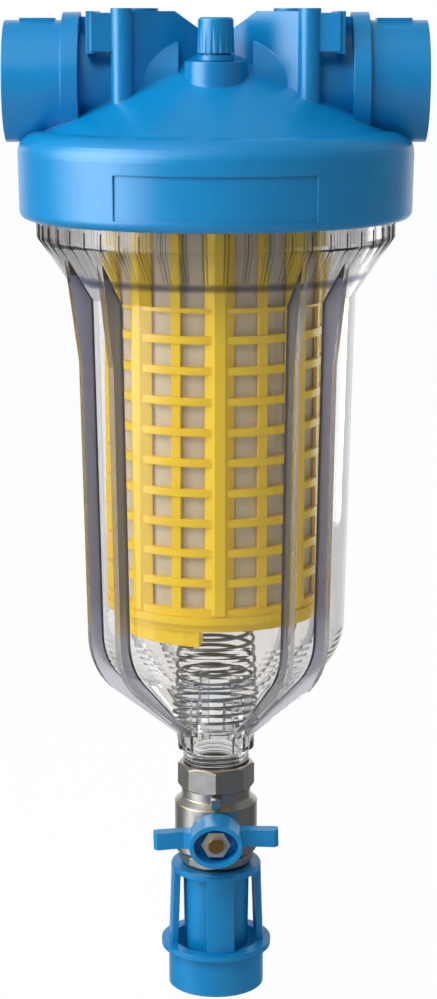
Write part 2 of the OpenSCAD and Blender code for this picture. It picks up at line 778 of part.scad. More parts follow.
module handle() color(pale_blue) translate([0, 0, stem_z]) rotate([0, -handle_tilt, 0])
  translate([0, 0, -stem_z]) difference() {
    union() {
      hub_block(0, hub_back_y, hub_front_y);
      mirror_x() wing();
    }
    hub_block(hub_rim, hub_floor_y, hub_front_y + 1);
    bar_y(stem_r + run_gap, hub_back_y - 1, hub_floor_y + 1);
  }

module handle_nut() color(nickel) difference() {
  translate([0, -hub_floor_y, stem_z]) rotate([90, 0, 0])
    cylinder(r = nut_af / 2 / cos(30), h = nut_h, $fn = 6);
  bar_y(tip_r + 0.05, hub_floor_y - 1, hub_floor_y + nut_h + 1);
}

// Four legs cut from a flared sleeve
module legs() intersection() {
  rotate_extrude() polygon([
    [disc_r - leg_t, disc_top - 1], [disc_r, disc_top - 1],
    [spigot_r, flange_top - 1], [spigot_r - leg_t, flange_top - 1]
  ]);
  rotate(leg_turn) union() {
    translate([-spigot_r - 1, -leg_w / 2, flange_top - 2])
      cube([2 * spigot_r + 2, leg_w, leg_h + disc_t + 3]);
    translate([-leg_w / 2, -spigot_r - 1, flange_top - 2])
      cube([leg_w, 2 * spigot_r + 2, leg_h + disc_t + 3]);
  }
}

module drain_tundish() color(pale_blue) difference() {
  union() {
    ring(0, disc_r - 0.4, disc_top - disc_t, disc_top);
    legs();
    rotate_extrude() polygon([
      [0, disc_top - 1], [nozzle_r, disc_top - 1], [nozzle_r - nozzle_taper, nozzle_end], [0, nozzle_end]
    ]);
    ring(0, nozzle_r - 1, disc_top - 1, disc_top + nipple_h);
    ring(spigot_r - spigot_wall, tundish_flange_r, flange_top - tundish_flange_t, flange_top);
    ring(spigot_r - spigot_wall, spigot_r, spigot_bot, flange_top - tundish_flange_t + 1);
  }
  translate([0, 0, nozzle_end - 1]) cylinder(r = nozzle_bore_r, h = disc_top - nozzle_end + nipple_h + 2);
}

module tundish_gasket() color(rubber)
  ring(nozzle_r - 0.6, valve_end_r - 2.2, disc_top, valve_bot);

head();
inlet_gauge_plug();
outlet_gauge_plug();
gauge_plug_seals();
vent_screw();
vent_seal();
bowl();
bowl_seal();
cartridge_cage();
cartridge_top_cap();
cartridge_bottom_cap();
cartridge_screen();
cartridge_seal();
spring();
valve_body();
valve_end();
valve_ball();
upper_seat();
lower_seat();
valve_stem();
stem_seals();
thrust_washer();
handle();
handle_nut();
drain_tundish();
tundish_gasket();
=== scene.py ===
import bpy
import math
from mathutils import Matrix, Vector


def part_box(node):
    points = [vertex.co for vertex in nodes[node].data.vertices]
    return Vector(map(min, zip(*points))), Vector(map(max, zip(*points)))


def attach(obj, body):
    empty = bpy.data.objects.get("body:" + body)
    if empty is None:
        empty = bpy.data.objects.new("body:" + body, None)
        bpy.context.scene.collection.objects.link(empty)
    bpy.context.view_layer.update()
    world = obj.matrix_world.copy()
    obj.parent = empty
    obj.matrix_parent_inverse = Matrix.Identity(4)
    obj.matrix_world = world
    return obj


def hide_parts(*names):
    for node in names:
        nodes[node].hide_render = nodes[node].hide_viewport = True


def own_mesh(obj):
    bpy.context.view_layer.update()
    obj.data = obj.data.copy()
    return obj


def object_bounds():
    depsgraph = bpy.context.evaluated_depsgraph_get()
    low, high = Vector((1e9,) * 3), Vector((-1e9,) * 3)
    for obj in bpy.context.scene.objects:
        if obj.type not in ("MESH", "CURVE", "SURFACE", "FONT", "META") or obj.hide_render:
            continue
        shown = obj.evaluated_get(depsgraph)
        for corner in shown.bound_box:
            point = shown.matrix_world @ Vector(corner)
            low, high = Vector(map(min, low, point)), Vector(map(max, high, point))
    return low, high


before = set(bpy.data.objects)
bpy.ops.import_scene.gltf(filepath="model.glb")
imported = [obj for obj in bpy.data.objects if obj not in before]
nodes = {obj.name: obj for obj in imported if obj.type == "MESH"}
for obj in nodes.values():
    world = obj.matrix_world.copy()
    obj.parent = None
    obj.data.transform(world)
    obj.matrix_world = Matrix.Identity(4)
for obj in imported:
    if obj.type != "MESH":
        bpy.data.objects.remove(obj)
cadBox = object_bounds()
print("frame loaded:", len(nodes), "nodes")

mm = 0.001


# helpers for selecting and editing

def deselectAll():
    if bpy.context.object and bpy.context.object.mode != "OBJECT":
        bpy.ops.object.mode_set(mode="OBJECT")
    bpy.ops.object.select_all(action="DESELECT")


def pickOnly(piece):
    deselectAll()
    piece.select_set(True)
    bpy.context.view_layer.objects.active = piece


def finishPiece(piece, body, material, angle=35):
    # place and turn go into the mesh, so the object sits at the origin
    pickOnly(piece)
    bpy.ops.object.transform_apply(location=True, rotation=True, scale=True)
    bpy.ops.object.shade_smooth_by_angle(angle=math.radians(angle))
    piece.data.materials.clear()
    piece.data.materials.append(material)
    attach(piece, body)


def applyAll(piece):
    pickOnly(piece)
    for modifier in list(piece.modifiers):
        bpy.ops.object.modifier_apply(modifier=modifier.name)


def shiftMesh(piece, offset, turn=0.0):
    # turns the whole mesh about Y, then moves it
    pickOnly(piece)
    bpy.ops.object.mode_set(mode="EDIT")
    bpy.ops.mesh.select_all(action="SELECT")
    if turn:
        bpy.ops.transform.rotate(value=turn, orient_axis="Y", center_override=(0, 0, 0))
    bpy.ops.transform.translate(value=offset)
    bpy.ops.object.mode_set(mode="OBJECT")


def screwRing(name, profile, ringRadius, turns, height):
    # a small ring in the XZ plane, wound up round Z
    deselectAll()
    bpy.ops.mesh.primitive_circle_add(vertices=profile["sides"], radius=profile["radius"],
                                      fill_type="NOTHING", rotation=(math.pi / 2, 0, 0))
    piece = bpy.context.object
    piece.name = name
    bpy.ops.object.transform_apply(location=False, rotation=True, scale=False)
    bpy.ops.object.mode_set(mode="EDIT")
    bpy.ops.mesh.select_all(action="SELECT")
    bpy.ops.transform.resize(value=(1, 1, profile["stretch"]))
    bpy.ops.transform.translate(value=(ringRadius, 0, 0))
    bpy.ops.object.mode_set(mode="OBJECT")
    wind = piece.modifiers.new("wind", "SCREW")
    wind.axis = "Z"
    wind.angle = 2 * math.pi * turns
    wind.screw_offset = height
    wind.steps = int(turns * profile["stepsPerTurn"])
    wind.render_steps = wind.steps
    wind.use_smooth_shade = True
    applyAll(piece)
    bpy.ops.object.mode_set(mode="EDIT")
    bpy.ops.mesh.select_all(action="SELECT")
    bpy.ops.mesh.fill_holes(sides=0)
    bpy.ops.mesh.select_all(action="SELECT")
    bpy.ops.mesh.normals_make_consistent(inside=False)
    bpy.ops.object.mode_set(mode="OBJECT")
    return piece


# helpers for shader nodes

def put(tree, kind, where, **values):
    node = tree.nodes.new(kind)
    node.location = where
    for key, value in values.items():
        if hasattr(node, key):
            setattr(node, key, value)
        else:
            node.inputs[key.replace("_", " ")].default_value = value
    return node


def wire(tree, start, end):
    tree.links.new(start, end)


def feed(tree, values, node):
    # each value is a number or vector to set, or a socket to wire
    for socket, value in zip(node.inputs, values):
        if isinstance(value, bpy.types.NodeSocket):
            wire(tree, value, socket)
        else:
            socket.default_value = value


def calc(tree, where, operation, *values, clamp=False):
    node = put(tree, "ShaderNodeMath", where, operation=operation, use_clamp=clamp)
    feed(tree, values, node)
    return node.outputs[0]


def vectorCalc(tree, where, operation, *values):
    node = put(tree, "ShaderNodeVectorMath", where, operation=operation)
    feed(tree, values, node)
    return node.outputs["Value" if operation == "DOT_PRODUCT" else "Vector"]


def spread(tree, where, source, low, high, toLow=0.0, toHigh=1.0, smooth=False):
    node = put(tree, "ShaderNodeMapRange", where)
    if smooth:
        node.interpolation_type = "SMOOTHSTEP"
    feed(tree, (source, low, high, toLow, toHigh), node)
    return node.outputs["Result"]


def mixColour(tree, where, share, low, high):
    node = put(tree, "ShaderNodeMix", where, data_type="RGBA")
    wire(tree, share, node.inputs[0])
    for socket, colour in ((node.inputs[6], low), (node.inputs[7], high)):
        if isinstance(colour, bpy.types.NodeSocket):
            wire(tree, colour, socket)
        else:
            socket.default_value = (*colour, 1)
    return node.outputs[2]


def mixShader(tree, where, share, low, high):
    node = put(tree, "ShaderNodeMixShader", where)
    wire(tree, share, node.inputs["Fac"])
    wire(tree, low, node.inputs[1])
    wire(tree, high, node.inputs[2])
    return node.outputs["Shader"]


def newGroup(name, inputs, outputs):
    tree = bpy.data.node_groups.new(name, "ShaderNodeTree")
    for label, value in inputs:
        socket = tree.interface.new_socket(label, in_out="INPUT", socket_type="NodeSocketFloat")
        socket.default_value = value
    for label in outputs:
        tree.interface.new_socket(label, in_out="OUTPUT", socket_type="NodeSocketFloat")
    start = put(tree, "NodeGroupInput", (-900, 0))
    end = put(tree, "NodeGroupOutput", (700, 0))
    coord = put(tree, "ShaderNodeTexCoord", (-900, 300))
    return tree, start.outputs, end.inputs, coord.outputs


def groupNode(tree, group, where, **values):
    node = tree.nodes.new("ShaderNodeGroup")
    node.node_tree = group
    node.location = where
    for key, value in values.items():
        node.inputs[key].default_value = value
    return node.outputs


# shared effects; the ranges say which part of a pattern counts

effectShape = {
    "flowRange": (0.3, 0.7), "smudgeRange": (0.5, 0.78), "scuffRange": (0.02, 0.0), "scuffScale": 2.3,
    "toneScale": 140.0,
}


def makeMouldGrain():
    # fine spark-eroded grain with slow flow marks, for moulded plastic
    tree, start, end, coord = newGroup("mouldGrain", [("Fine", 2600.0), ("Slow", 22.0)], ["Height", "Flow"])
    fine = put(tree, "ShaderNodeTexNoise", (-500, 200), Detail=2.0, Roughness=0.6)
    slow = put(tree, "ShaderNodeTexNoise", (-500, -150), Detail=4.0, Roughness=0.55, Distortion=0.6)
    for noise, scale in ((fine, "Fine"), (slow, "Slow")):
        wire(tree, coord["Object"], noise.inputs["Vector"])
        wire(tree, start[scale], noise.inputs["Scale"])
    wire(tree, fine.outputs["Fac"], end["Height"])
    wire(tree, spread(tree, (0, -150), slow.outputs["Fac"], *effectShape["flowRange"]), end["Flow"])
    return tree


def makeHandling():
    # faint smudges and short scuffs from handling
    tree, start, end, coord = newGroup("handlingMarks", [("Scale", 60.0), ("Amount", 0.5)], ["Mask"])
    smudge = put(tree, "ShaderNodeTexNoise", (-500, 250), Detail=5.0, Roughness=0.65)
    scuff = put(tree, "ShaderNodeTexVoronoi", (-500, -100), feature="DISTANCE_TO_EDGE")
    wire(tree, coord["Object"], smudge.inputs["Vector"])
    wire(tree, coord["Object"], scuff.inputs["Vector"])
    wire(tree, start["Scale"], smudge.inputs["Scale"])
    finer = calc(tree, (-700, -150), "MULTIPLY", start["Scale"], effectShape["scuffScale"])
    wire(tree, finer, scuff.inputs["Scale"])
    soft = spread(tree, (-250, 250), smudge.outputs["Fac"], *effectShape["smudgeRange"])
    thin = spread(tree, (-250, -100), scuff.outputs["Distance"], *effectShape["scuffRange"])
    both = calc(tree, (0, 100), "MULTIPLY_ADD", soft, thin, soft, clamp=True)
    wire(tree, calc(tree, (250, 100), "MULTIPLY", both, start["Amount"], clamp=True), end["Mask"])
    return tree


def makeTurnedLines():
    # fine rings left by turning, stacked along Z
    tree, start, end, coord = newGroup("turnedLines", [("Pitch", 900.0), ("Jitter", 4.0)],
                                       ["Height", "Tone"])
    rings = put(tree, "ShaderNodeTexWave", (-300, 200), wave_type="BANDS", bands_direction="Z", Detail=2.0)
    wire(tree, coord["Object"], rings.inputs["Vector"])
    wire(tree, start["Pitch"], rings.inputs["Scale"])
    wire(tree, start["Jitter"], rings.inputs["Distortion"])
    tone = put(tree, "ShaderNodeTexNoise", (-300, -150), Scale=effectShape["toneScale"], Detail=4.0)
    wire(tree, coord["Object"], tone.inputs["Vector"])
    wire(tree, rings.outputs["Fac"], end["Height"])
    wire(tree, tone.outputs["Fac"], end["Tone"])
    return tree


def makeFlankMask():
    # picks out the flanks of fins and ribs: faces that look along the turn round Z
    tree, start, end, coord = newGroup("flankMask", [("Low", 0.5), ("High", 0.85)], ["Mask"])
    place = vectorCalc(tree, (-650, 250), "MULTIPLY", coord["Object"], (1, 1, 0))
    outward = vectorCalc(tree, (-450, 250), "NORMALIZE", place)
    along = vectorCalc(tree, (-250, 250), "CROSS_PRODUCT", (0, 0, 1), outward)
    facing = vectorCalc(tree, (-50, 250), "DOT_PRODUCT", along, coord["Normal"])
    size = calc(tree, (150, 250), "ABSOLUTE", facing)
    wire(tree, spread(tree, (350, 250), size, start["Low"], start["High"]), end["Mask"])
    return tree


mouldGrain = makeMouldGrain()
handlingMarks = makeHandling()
turnedLines = makeTurnedLines()
flankMask = makeFlankMask()


def blankMaterial(name):
    material = bpy.data.materials.new(name)
    material.use_nodes = True
    tree = material.node_tree
    shader = tree.nodes["Principled BSDF"]
    shader.location = (500, 0)
    tree.nodes["Material Output"].location = (900, 0)
    return material, tree, shader.inputs


def addBump(tree, shader, strength, depth, height, normal=None):
    bump = put(tree, "ShaderNodeBump", (100, -300), Strength=strength, Distance=depth)
    wire(tree, height, bump.inputs["Height"])
    if normal:
        wire(tree, normal, bump.inputs["Normal"])
    wire(tree, bump.outputs["Normal"], shader["Normal"])


def roundedEdge(tree, where, radius):
    # rounds sharp rims in the shading only
    edge = put(tree, "ShaderNodeBevel", where, samples=4, Radius=radius)
    return edge.outputs["Normal"]


# moulded plastics and rubber

mouldedDepth = 0.0001  # height of the grain
mouldedSmudges = 0.6


def makeMoulded(name, look):
    # flow marks in the colour, grain in the bump, smudges in the gloss
    material, tree, shader = blankMaterial(name)
    grain = groupNode(tree, mouldGrain, (-700, 100), Fine=look["grain"], Slow=look["flow"])
    marks = groupNode(tree, handlingMarks, (-700, -200), Scale=look["marks"], Amount=mouldedSmudges)
    colour = mixColour(tree, (-300, 250), grain["Flow"], look["shade"], look["colour"])
    wire(tree, colour, shader["Base Color"])
    wire(tree, spread(tree, (-300, -50), marks["Mask"], 0, 1, *look["roughness"]), shader["Roughness"])
    edge = roundedEdge(tree, (-300, -500), look["edge"])
    addBump(tree, shader, look["bump"], mouldedDepth, grain["Height"], edge)
    shader["IOR"].default_value = look["ior"]
    shader["Specular IOR Level"].default_value = look["specular"]
    return material


blueLook = {
    "colour": (0.001, 0.220, 0.505), "shade": (0.001, 0.196, 0.460), "grain": 2600.0, "flow": 22.0,
    "marks": 45.0, "roughness": (0.29, 0.40), "edge": 0.0009, "bump": 0.22, "ior": 1.49, "specular": 0.85,
}
paleBlueLook = {
    "colour": (0.003, 0.225, 0.510), "shade": (0.002, 0.200, 0.470), "grain": 3200.0, "flow": 45.0,
    "marks": 90.0, "roughness": (0.30, 0.46), "edge": 0.0006, "bump": 0.2, "ior": 1.49, "specular": 0.42,
}
yellowLook = {
    "colour": (1.0, 0.690, 0.004), "shade": (0.97, 0.640, 0.003), "grain": 3000.0, "flow": 30.0,
    "marks": 80.0, "roughness": (0.30, 0.48), "edge": 0.0005, "bump": 0.15, "ior": 1.49, "specular": 0.4,
}
seatLook = {
    "colour": (0.86, 0.86, 0.83), "shade": (0.80, 0.80, 0.76), "grain": 3000.0, "flow": 90.0,
    "marks": 150.0, "roughness": (0.38, 0.55), "edge": 0.0003, "bump": 0.1, "ior": 1.38, "specular": 0.35,
}
rubberLook = {
    "colour": (0.022, 0.022, 0.024), "shade": (0.014, 0.014, 0.015), "grain": 2400.0, "flow": 80.0,
    "marks": 120.0, "roughness": (0.5, 0.68), "edge": 0.0003, "bump": 0.25, "ior": 1.5, "specular": 0.35,
}

bluePlastic = makeMoulded("blueMouldedPlastic", blueLook)
paleBluePlastic = makeMoulded("paleBlueMouldedPlastic", paleBlueLook)
yellowPlastic = makeMoulded("yellowMouldedPlastic", yellowLook)
seatPlastic = makeMoulded("whiteSeatPlastic", seatLook)
sealRubber = makeMoulded("blackSealRubber", rubberLook)

# clear plastic of the bowl, with painted shade on the fin flanks, in a band below the collar and along the
# rib edges; heights are along Z, rib widths are shares of the rib spacing

clearLook = {
    "ior": 1.5, "roughness": (0.015, 0.05), "tint": (0.52, 0.50, 0.50), "density": 60.0,
    "inside": (0.985, 0.985, 0.99),
    "grain": 420.0, "flow": 18.0, "marks": 40.0, "smudges": 0.5, "ripple": 0.05, "rippleDepth": 0.0004,
    # the fin and rib colours below are painted shade; the fin, rib-line and band entries place it
    "finPaintedShade": (0.28, 0.30, 0.41), "finBlur": 0.45, "finShadeFoot": (-0.330, -0.290), "finShadeFootShare": 0.45,
    "ribPaintedShade": (0.11, 0.095, 0.07), "ribs": 52, "ribHalf": 0.084, "ribShadeLine": 0.034, "ribShadeSoft": 0.4,
    "ribShadeDepth": 0.85, "ribFoot": -0.1262, "collarFoot": -0.1305, "collarBlur": 0.10,
    "shadeBandHeight": -0.1285, "shadeBandHalf": 0.0022, "shadeBandSoft": 0.5, "shadeBandDepth": 0.95,
}


def paintedRibShade(tree, coord, split, onRibs, look):
    # painted shade: both edges of each grip rib get a dark line on the outer face, standing in for the
    # darkening that refraction gives thick clear ribs
    turn = calc(tree, (-1100, 1200), "ARCTAN2", split["Y"], split["X"])
    perTurn = look["ribs"] / (2 * math.pi)
    atFront = look["ribs"] / 4 - 0.5  # the front lies midway between two ribs
    count = calc(tree, (-950, 1200), "MULTIPLY_ADD", turn, perTurn, atFront)
    nearest = calc(tree, (-800, 1200), "PINGPONG", count, 0.5)
    rim = calc(tree, (-650, 1200), "SUBTRACT", nearest, look["ribHalf"])
    gap = calc(tree, (-500, 1200), "ABSOLUTE", rim)
    inner = look["ribShadeLine"] * look["ribShadeSoft"]
    line = spread(tree, (-350, 1200), gap, look["ribShadeLine"], inner, 0, look["ribShadeDepth"])
    outer = vectorCalc(tree, (-650, 1450), "DOT_PRODUCT", coord["Object"], coord["Normal"])
    facesOut = calc(tree, (-500, 1450), "GREATER_THAN", outer, 0.0)
    where = calc(tree, (-350, 1450), "MULTIPLY", facesOut, onRibs)
    return calc(tree, (-200, 1200), "MULTIPLY", line, where)


def makeClear(name, look):
    # thickness darkens it, and light for the inside passes straight through; painted shade darkens the fin
    # flanks, a band below the collar and the rib edges
    material, tree, shader = blankMaterial(name)
    grain = groupNode(tree, mouldGrain, (-700, 100), Fine=look["grain"], Slow=look["flow"])
    marks = groupNode(tree, handlingMarks, (-700, -200), Scale=look["marks"], Amount=look["smudges"])
    flank = groupNode(tree, flankMask, (-700, 400))
    coord = put(tree, "ShaderNodeTexCoord", (-1300, 700)).outputs
    splitNode = put(tree, "ShaderNodeSeparateXYZ", (-1100, 700))
    wire(tree, coord["Object"], splitNode.inputs[0])
    split = splitNode.outputs
    # painted shade: a dark ring below the collar, standing in for the shade at the collar's inner step
    offset = calc(tree, (-900, 700), "SUBTRACT", split["Z"], look["shadeBandHeight"])
    away = calc(tree, (-700, 700), "ABSOLUTE", offset)
    inner = look["shadeBandHalf"] * look["shadeBandSoft"]
    shadeBand = spread(tree, (-500, 700), away, look["shadeBandHalf"], inner, 0, look["shadeBandDepth"])
    # painted shade on the fin flanks, standing in for the dark that the clear fins refract; less of it on the
    # bent bottom
    foot = spread(tree, (-900, 450), split["Z"], *look["finShadeFoot"], look["finShadeFootShare"], 1)
    finShade = calc(tree, (-500, 250), "MULTIPLY", flank["Mask"], foot)
    dark = calc(tree, (-500, 450), "MAXIMUM", finShade, shadeBand)
    onRibs = calc(tree, (-500, 1650), "GREATER_THAN", split["Z"], look["ribFoot"])
    paintedShade = calc(tree, (-350, 550), "MAXIMUM", dark, paintedRibShade(tree, coord, split, onRibs, look))
    # the painted shade takes the rib colour above the rib foot and the fin colour below it
    side = mixColour(tree, (-500, 950), onRibs, look["finPaintedShade"], look["ribPaintedShade"])
    wire(tree, mixColour(tree, (-300, 350), paintedShade, (1, 1, 1), side), shader["Base Color"])
    shader["Transmission Weight"].default_value = 1.0
    shader["IOR"].default_value = look["ior"]
    # the threads behind the collar blur what stands inside
    collar = spread(tree, (-900, 950), split["Z"], look["collarFoot"] - mm, look["collarFoot"] + mm)
    rough = spread(tree, (-300, -50), marks["Mask"], 0, 1, *look["roughness"])
    blur = calc(tree, (-100, -50), "MULTIPLY_ADD", collar, look["collarBlur"], rough)
    wire(tree, calc(tree, (50, -50), "MULTIPLY_ADD", finShade, look["finBlur"], blur), shader["Roughness"])
    addBump(tree, shader, look["ripple"], look["rippleDepth"], grain["Flow"])
    path = put(tree, "ShaderNodeLightPath", (300, 500)).outputs
    through = calc(tree, (500, 400), "MAXIMUM", path["Is Shadow Ray"], path["Is Diffuse Ray"])
    clear = put(tree, "ShaderNodeBsdfTransparent", (500, 250), Color=(*look["inside"], 1))
    solid = tree.nodes["Principled BSDF"].outputs["BSDF"]
    out = tree.nodes["Material Output"].inputs
    wire(tree, mixShader(tree, (750, 200), through, solid, clear.outputs["BSDF"]), out["Surface"])
    absorb = put(tree, "ShaderNodeVolumeAbsorption", (500, -500), Density=look["density"])
    absorb.inputs["Color"].default_value = (*look["tint"], 1)
    wire(tree, absorb.outputs["Volume"], out["Volume"])
    return material


clearPlastic = makeClear("clearBowlPlasticWithPaintedShade", clearLook)

# woven sleeve of the cartridge

weaveLook = {
    "pitch": 0.0009, "radius": 0.051, "thread": (0.74, 0.65, 0.47), "gap": (0.48, 0.40, 0.25),
    "roughness": 0.62, "stain": (0.56, 0.46, 0.30), "stainScale": 70.0, "stainAmount": 0.5,
    "bump": 0.5, "bumpDepth": 0.0002,
}


def makeWeave(name, look):
    # plain weave wrapped round the sleeve: warp by angle, weft by height
    material, tree, shader = blankMaterial(name)
    coord = put(tree, "ShaderNodeTexCoord", (-1500, 200))
    splitNode = put(tree, "ShaderNodeSeparateXYZ", (-1300, 200))
    wire(tree, coord.outputs["Object"], splitNode.inputs[0])
    split = splitNode.outputs
    turn = calc(tree, (-1100, 300), "ARCTAN2", split["Y"], split["X"])
    perMetre = 2 * math.pi / look["pitch"]
    waves = []
    for source, factor, height in ((turn, perMetre * look["radius"], 300), (split["Z"], perMetre, 0)):
        phase = calc(tree, (-900, height), "MULTIPLY", source, factor)
        sine = calc(tree, (-700, height), "SINE", phase)
        waves.append(calc(tree, (-500, height), "ABSOLUTE", sine))
    cloth = calc(tree, (-300, 150), "MAXIMUM", *waves)
    stain = groupNode(tree, handlingMarks, (-500, -300), Scale=look["stainScale"], Amount=look["stainAmount"])
    colour = mixColour(tree, (0, 200), cloth, look["gap"], look["thread"])
    wire(tree, mixColour(tree, (250, 250), stain["Mask"], colour, look["stain"]), shader["Base Color"])
    addBump(tree, shader, look["bump"], look["bumpDepth"], cloth)
    shader["Roughness"].default_value = look["roughness"]
    return material


meshWeave = makeWeave("wovenMesh", weaveLook)

# plated, drawn and turned metals

turnedDepth = 0.00008  # height of the rings
bareRim = (0.995, 0.96)  # how far a rounded edge turns before the metal below shows


def makePlated(name, look):
    # rings in the bump, worn spots and rims show the metal below
    material, tree, shader = blankMaterial(name)
    lines = groupNode(tree, turnedLines, (-700, 100), Pitch=look["pitch"], Jitter=look["jitter"])
    marks = groupNode(tree, handlingMarks, (-700, -200), Scale=look["marks"], Amount=look["wear"])
    tone = mixColour(tree, (-350, 300), lines["Tone"], look["shade"], look["colour"])
    worn = mixColour(tree, (-100, 250), marks["Mask"], tone, look["under"])
    wire(tree, spread(tree, (-100, -50), lines["Tone"], 0, 1, *look["roughness"]), shader["Roughness"])
    edge = roundedEdge(tree, (-350, -500), look["edge"])
    face = put(tree, "ShaderNodeNewGeometry", (-350, -750)).outputs["Normal"]
    rim = vectorCalc(tree, (-150, -700), "DOT_PRODUCT", edge, face)
    bare = spread(tree, (50, -700), rim, *bareRim, 0, look["bare"])
    wire(tree, mixColour(tree, (200, 250), bare, worn, look["under"]), shader["Base Color"])
    addBump(tree, shader, look["bump"], turnedDepth, lines["Height"], edge)
    shader["Metallic"].default_value = 1.0
    return material


nickelLook = {
    "colour": (0.62, 0.62, 0.605), "shade": (0.49, 0.49, 0.48), "under": (0.58, 0.40, 0.15), "pitch": 260.0,
    "jitter": 3.0, "marks": 110.0, "wear": 0.16, "roughness": (0.24, 0.42), "edge": 0.0007, "bump": 0.2,
    "bare": 0.85,
}
nutLook = {
    "colour": (0.93, 0.93, 0.91), "shade": (0.84, 0.84, 0.82), "under": (0.60, 0.58, 0.54), "pitch": 300.0,
    "jitter": 3.0, "marks": 160.0, "wear": 0.15, "roughness": (0.42, 0.6), "edge": 0.0005, "bump": 0.15,
    "bare": 0.0,
}
wireLook = {
    "colour": (0.23, 0.225, 0.22), "shade": (0.13, 0.13, 0.13), "under": (0.22, 0.17, 0.12), "pitch": 500.0,
    "jitter": 9.0, "marks": 160.0, "wear": 0.3, "roughness": (0.28, 0.45), "edge": 0.0002, "bump": 0.15,
    "bare": 0.0,
}
ballLook = {
    "colour": (0.80, 0.80, 0.80), "shade": (0.72, 0.72, 0.73), "under": (0.66, 0.64, 0.6), "pitch": 400.0,
    "jitter": 2.0, "marks": 140.0, "wear": 0.25, "roughness": (0.06, 0.14), "edge": 0.0003, "bump": 0.05,
    "bare": 0.0,
}
brassLook = {
    "colour": (0.72, 0.48, 0.16), "shade": (0.60, 0.38, 0.11), "under": (0.45, 0.28, 0.09), "pitch": 500.0,
    "jitter": 2.0, "marks": 150.0, "wear": 0.4, "roughness": (0.2, 0.36), "edge": 0.0003, "bump": 0.15,
    "bare": 0.0,
}

nickelPlate = makePlated("satinNickelPlate", nickelLook)
nutPlate = makePlated("zincPlate", nutLook)
springWire = makePlated("drawnSpringWire", wireLook)
chromeBall = makePlated("polishedBall", ballLook)
stemBrass = makePlated("turnedBrass", brassLook)
print("materials made")

finishOf = {
    "head": bluePlastic, "inlet_gauge_plug": bluePlastic, "outlet_gauge_plug": bluePlastic,
    "vent_screw": bluePlastic, "gauge_plug_seals": sealRubber, "vent_seal": sealRubber,
    "bowl": clearPlastic, "bowl_seal": sealRubber, "cartridge_cage": yellowPlastic,
    "cartridge_top_cap": yellowPlastic, "cartridge_bottom_cap": yellowPlastic, "cartridge_screen": meshWeave,
    "cartridge_seal": sealRubber, "spring": springWire, "valve_body": nickelPlate, "valve_end": nickelPlate,
    "valve_ball": chromeBall, "upper_seat": seatPlastic, "lower_seat": seatPlastic, "valve_stem": stemBrass,
    "stem_seals": sealRubber, "thrust_washer": seatPlastic, "handle": paleBluePlastic, "handle_nut": nutPlate,
    "drain_tundish": paleBluePlastic, "tundish_gasket": sealRubber,
}
for name, material in finishOf.items():
    nodes[name].data.materials.clear()
    nodes[name].data.materials.append(material)
print("finishes put on the solids")

# the cartridge spring, wound smoothly

springShape = {
    "wire": {"radius": 0.95 * mm, "sides": 14, "stretch": 1.0, "stepsPerTurn": 48},
    "bottomRadius": 22 * mm, "topRadius": 18.5 * mm, "turns": 11, "travel": 10.6 * mm,
}


def makeSpring(shape):
    low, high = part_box("spring")
    height = high.z - low.z
    wireRadius = shape["wire"]["radius"]
    rise = height - 2 * wireRadius
    piece = screwRing("springCoil", shape["wire"], shape["bottomRadius"], shape["turns"], rise)
    taper = piece.modifiers.new("narrow", "SIMPLE_DEFORM")
    taper.deform_method = "TAPER"
    taper.deform_axis = "Z"
    taper.factor = shape["topRadius"] / shape["bottomRadius"] - 1
    applyAll(piece)
    shiftMesh(piece, (0, 0, low.z + wireRadius))
    finishPiece(piece, "bowl", springWire)
    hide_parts("spring")
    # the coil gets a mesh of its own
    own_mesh(piece)


makeSpring(springShape)
print("spring wound")

# threads: the bare drain thread and the threads inside the two ports

drainThread = {
    "ridge": {"radius": 0.55 * mm, "sides": 6, "stretch": 1.15, "stepsPerTurn": 64}, "lift": 0.2,
    "radius": 16.6 * mm, "pitch": 2.309 * mm, "length": 7.2 * mm, "top": -377.6 * mm,
}
portThread = {
    "ridge": {"radius": 0.8 * mm, "sides": 6, "stretch": 1.15, "stepsPerTurn": 64}, "lift": -0.2,
    "radius": 23.9 * mm, "pitch": 2.309 * mm, "length": 22 * mm, "start": 79.8 * mm, "height": -35.2 * mm,
}


def makeThread(name, shape):
    # lift: share of the ridge's radius by which its middle stands out from the cylinder, or in from it
    ridge = shape["ridge"]
    return screwRing(name, ridge, shape["radius"] + ridge["radius"] * shape["lift"],
                     shape["length"] / shape["pitch"], shape["length"])


drain = makeThread("drainNeckThread", drainThread)
shiftMesh(drain, (0, 0, drainThread["top"] - drainThread["length"]))
finishPiece(drain, "bowl", clearPlastic)

for portName, side in (("inletPortThread", -1), ("outletPortThread", 1)):
    thread = makeThread(portName, portThread)
    shiftMesh(thread, (side * portThread["start"], 0, portThread["height"]), turn=-side * math.pi / 2)
    finishPiece(thread, "head", bluePlastic)
print("threads cut")

# studio: pale floor, white surroundings, soft lamps

